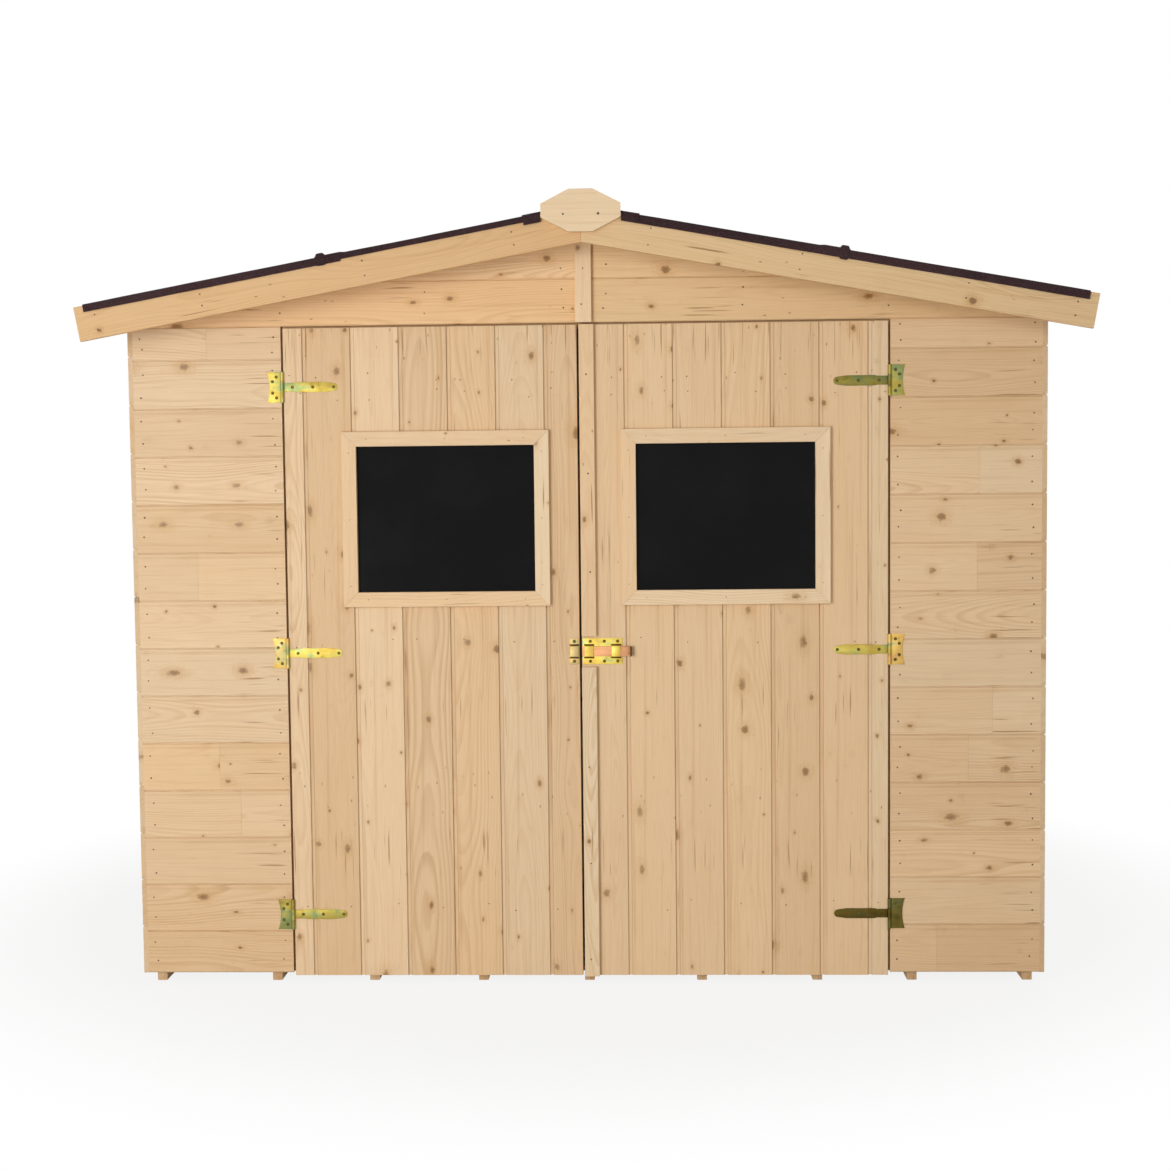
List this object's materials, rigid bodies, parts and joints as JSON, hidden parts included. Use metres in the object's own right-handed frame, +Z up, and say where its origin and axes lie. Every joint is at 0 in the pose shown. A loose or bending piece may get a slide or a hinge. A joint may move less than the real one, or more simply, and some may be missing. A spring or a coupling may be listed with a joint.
{
  "type": "wooden garden shed",
  "caption": "Wooden garden shed of horizontal boards with a low felted ridge roof, a pair of glazed boarded doors on strap hinges and a slide bolt.",
  "frame": {"origin": "on the ground under the middle of the shed", "axes": "+X to the right along the front, +Y from the front to the back, +Z up"},
  "size_m": [2.8244, 2.292, 2.2425],
  "materials": {
    "spruce_boards": "planed untreated spruce",
    "spruce_framing": "sawn untreated spruce",
    "spruce_trim": "planed untreated spruce",
    "roof_felt": "mineral surfaced bitumen felt",
    "yellow_zinc": "yellow passivated zinc",
    "window_pane": "dark clear sheet"
  },
  "bodies": {
    "shed": {"front_panel_left": "spruce_boards", "front_panel_right": "spruce_boards", "front_gable_left": "spruce_boards", "front_gable_right": "spruce_boards", "left_wall": "spruce_boards", "right_wall": "spruce_boards", "back_wall": "spruce_boards", "floor_joists": "spruce_framing", "floor_boards": "spruce_framing", "front_frame": "spruce_framing", "left_wall_frame": "spruce_framing", "right_wall_frame": "spruce_framing", "back_frame": "spruce_framing", "door_header": "spruce_framing", "door_stops": "spruce_framing", "ridge_beam": "spruce_framing", "roof_boards_left": "spruce_framing", "roof_boards_right": "spruce_framing", "front_gable_batten": "spruce_trim", "back_wall_batten": "spruce_trim", "front_bargeboards": "spruce_trim", "back_bargeboards": "spruce_trim", "left_eave_fascia": "spruce_trim", "right_eave_fascia": "spruce_trim", "front_ridge_plate": "spruce_trim", "back_ridge_plate": "spruce_trim", "roof_felt_left": "roof_felt", "roof_felt_right": "roof_felt", "ridge_felt": "roof_felt", "left_hinge_plates": "yellow_zinc", "right_hinge_plates": "yellow_zinc"},
    "left_door": {"left_door_leaf": "spruce_boards", "left_door_ledges": "spruce_framing", "left_window_trim": "spruce_trim", "left_window_pane": "window_pane", "left_hinge_straps": "yellow_zinc", "bolt_keeper": "yellow_zinc"},
    "right_door": {"right_door_leaf": "spruce_boards", "right_door_ledges": "spruce_framing", "right_window_trim": "spruce_trim", "right_window_pane": "window_pane", "right_hinge_straps": "yellow_zinc", "meeting_strip": "spruce_trim", "bolt_plate": "yellow_zinc"},
    "bolt": {"bolt_bar": "yellow_zinc"}
  },
  "joints": [
    {"name": "left_door_swing", "type": "hinge", "parent": "shed", "child": "left_door", "pos_m": [-0.8585, -1.005, 0.9595], "axis": [0, 0, -1], "range_deg": [0, 150]},
    {"name": "right_door_swing", "type": "hinge", "parent": "shed", "child": "right_door", "pos_m": [0.8585, -1.005, 0.9595], "axis": [0, 0, 1], "range_deg": [0, 150]},
    {"name": "bolt_slide", "type": "slide", "parent": "right_door", "child": "bolt", "axis": [-1, 0, 0], "range_m": [0, 0.02]}
  ]
}
